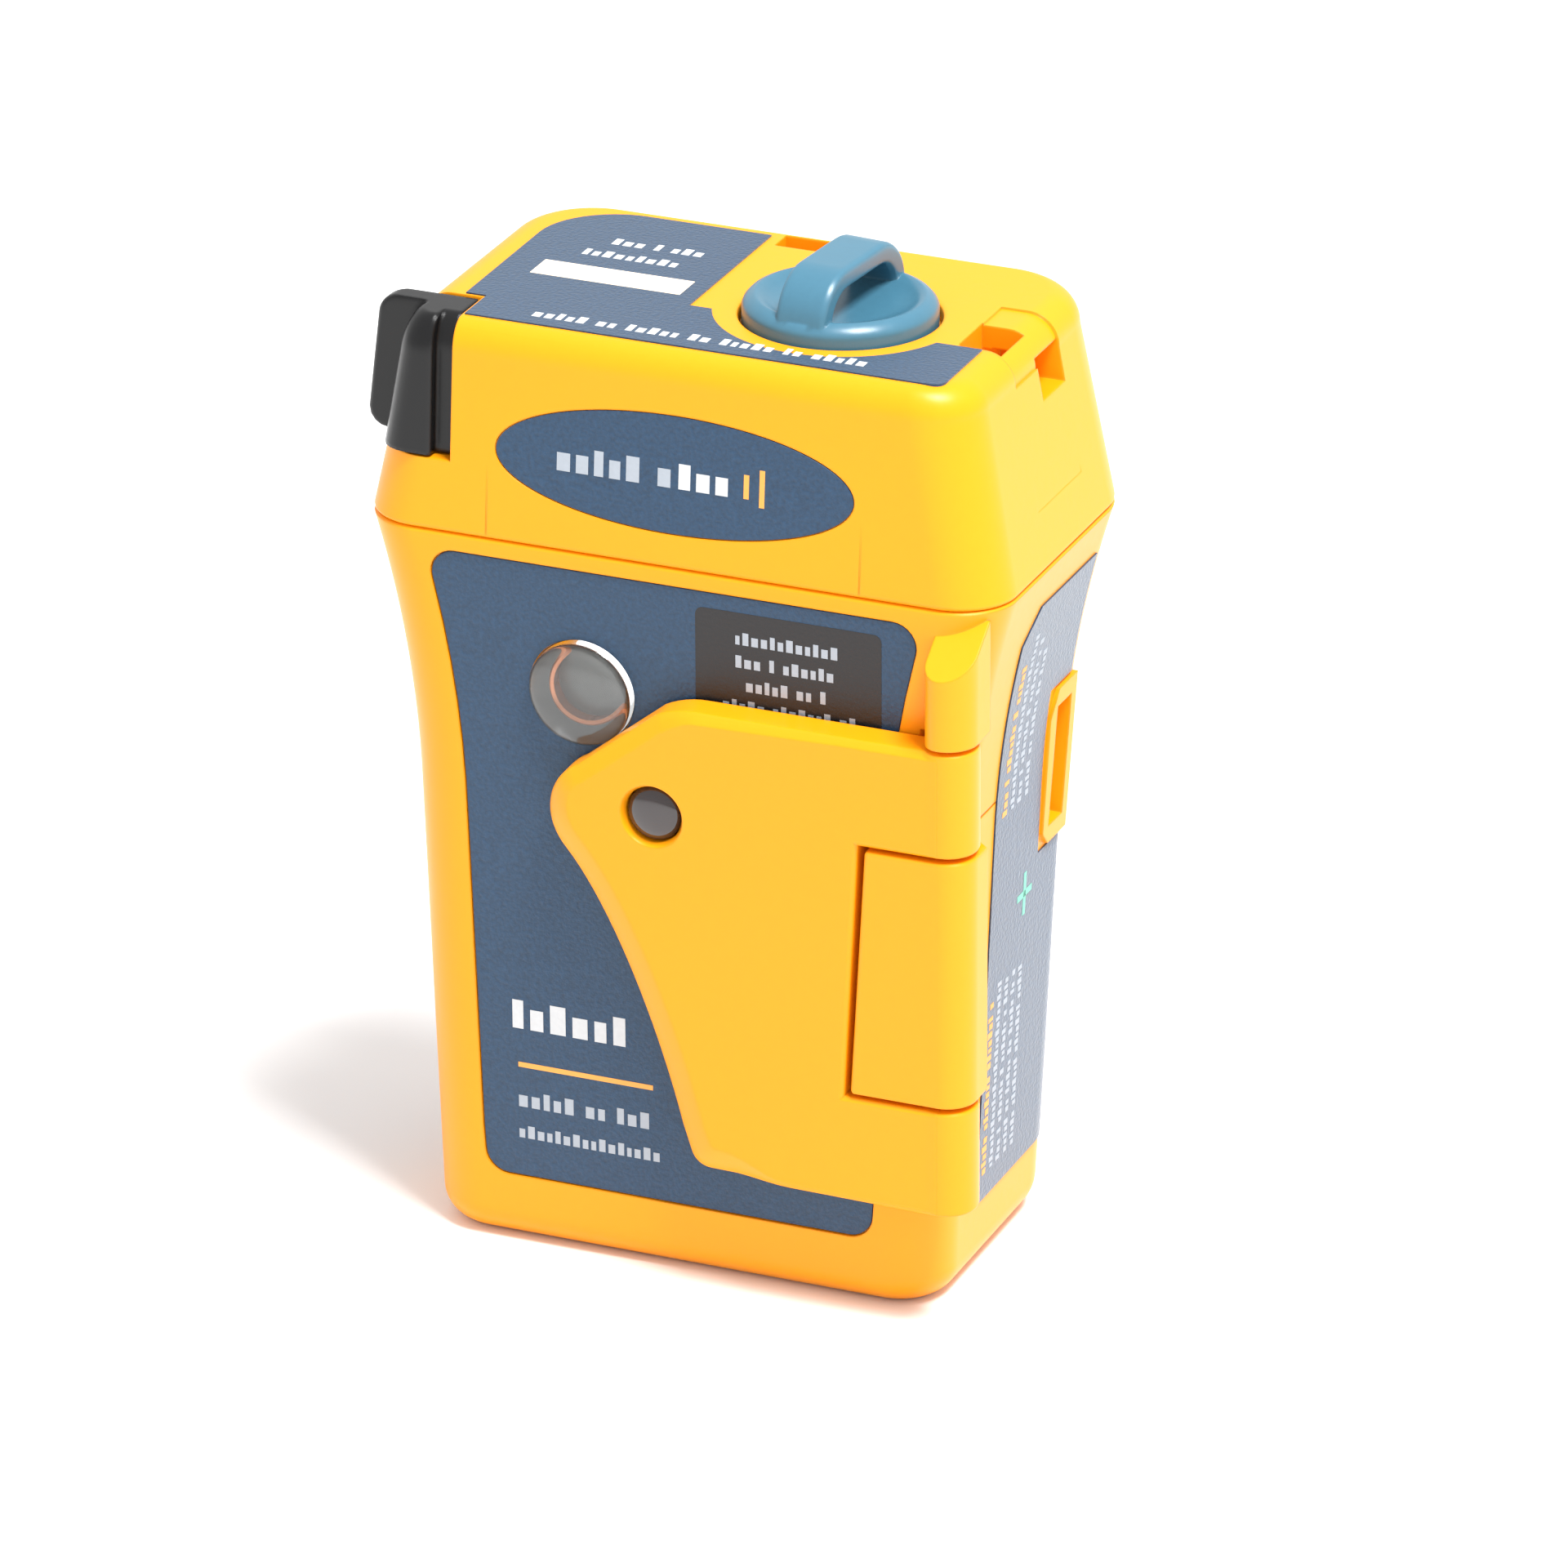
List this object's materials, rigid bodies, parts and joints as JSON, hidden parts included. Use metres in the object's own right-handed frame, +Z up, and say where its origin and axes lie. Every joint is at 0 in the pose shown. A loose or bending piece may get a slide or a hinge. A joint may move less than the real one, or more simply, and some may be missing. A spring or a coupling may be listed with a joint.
{
  "type": "personal gps locator beacon",
  "caption": "Pocket GPS distress beacon: two-shell case, strobe, sprung flap over push buttons, and a tape antenna pulled out by a tab and wound in by a knob.",
  "frame": {"origin": "centre of the flat base, where the lower case stands", "axes": "+Z up along the height, +X to the right seen from the front, the front face with the flap faces -Y"},
  "size_m": [0.0505, 0.0321, 0.077],
  "materials": {
    "yellow_case": "fine matt moulded ABS/PC",
    "label_blue": "textured printed film",
    "black_tab": "satin black moulded rubber",
    "knob_blue": "satin moulded plastic",
    "clear_lens": "clear polycarbonate",
    "dark_window": "smoke tinted polycarbonate",
    "black_rubber": "silicone rubber",
    "steel": "spring steel",
    "black_plastic": "glass filled nylon",
    "red_button": "satin plastic",
    "grey_button": "satin plastic",
    "board_green": "solder mask",
    "ceramic": "ceramic with silver face",
    "led": "LED package",
    "cell_wrap": "shrink wrapped lithium cell",
    "gold": "gold plated contact"
  },
  "bodies": {
    "case": {"lower_case": "yellow_case", "upper_case": "yellow_case", "case_gasket": "black_rubber", "front_label": "label_blue", "rear_label": "label_blue", "side_label_right": "label_blue", "side_label_left": "label_blue", "deck_label": "label_blue", "cap_badge": "label_blue", "strobe_lens": "clear_lens", "strobe_led": "led", "status_light_pipe": "clear_lens", "status_led": "led", "hinge_cover": "yellow_case", "hinge_pin": "steel", "flap_spring": "steel", "button_membrane": "black_rubber", "dome_switches": "steel", "main_board": "board_green", "board_screws": "steel", "gps_antenna": "ceramic", "shield_can": "steel", "battery_cell_left": "cell_wrap", "battery_cell_right": "cell_wrap", "battery_cell_cross": "cell_wrap", "battery_cradle": "black_plastic", "tape_guide": "black_plastic", "reel_tray": "black_plastic", "tray_screws": "steel", "antenna_contact": "gold"},
    "flap": {"flap": "yellow_case", "flap_window": "dark_window"},
    "antenna": {"antenna_tab": "black_tab", "antenna_tape": "steel"},
    "winder": {"winder_knob": "knob_blue", "winder_o_ring": "black_rubber", "spindle_screw": "steel", "antenna_reel": "black_plastic", "antenna_coil": "steel"},
    "on_button": {"on_button": "red_button"},
    "test_button": {"test_button": "grey_button"}
  },
  "joints": [
    {"name": "flap_hinge", "type": "hinge", "parent": "case", "child": "flap", "pos_m": [0.0215, -0.01429, 0.02796], "axis": [0, -0.0354, 0.9994], "range_deg": [0, 110], "stiffness_Nm_per_rad": 0.006, "springref_deg": -34.38},
    {"name": "antenna_slide", "type": "slide", "parent": "case", "child": "antenna", "axis": [-1, 0, 0], "range_m": [0, 0.18], "deforming": ["antenna_tape"]},
    {"name": "winder_spin", "type": "hinge", "parent": "case", "child": "winder", "pos_m": [0.0074, -0.001, 0.065], "axis": [0, 0, 1], "range_deg": [-1150, 0]},
    {"name": "on_press", "type": "slide", "parent": "case", "child": "on_button", "axis": [0, 0.9994, 0.0354], "range_m": [0, 0.0005], "stiffness_N_per_m": 1000},
    {"name": "test_press", "type": "slide", "parent": "case", "child": "test_button", "axis": [0, 0.9994, 0.0354], "range_m": [0, 0.0005], "stiffness_N_per_m": 1000}
  ],
  "couplings": [
    {"joint": "winder_spin", "follows": "antenna_slide", "rad_per_m": -111.1}
  ]
}
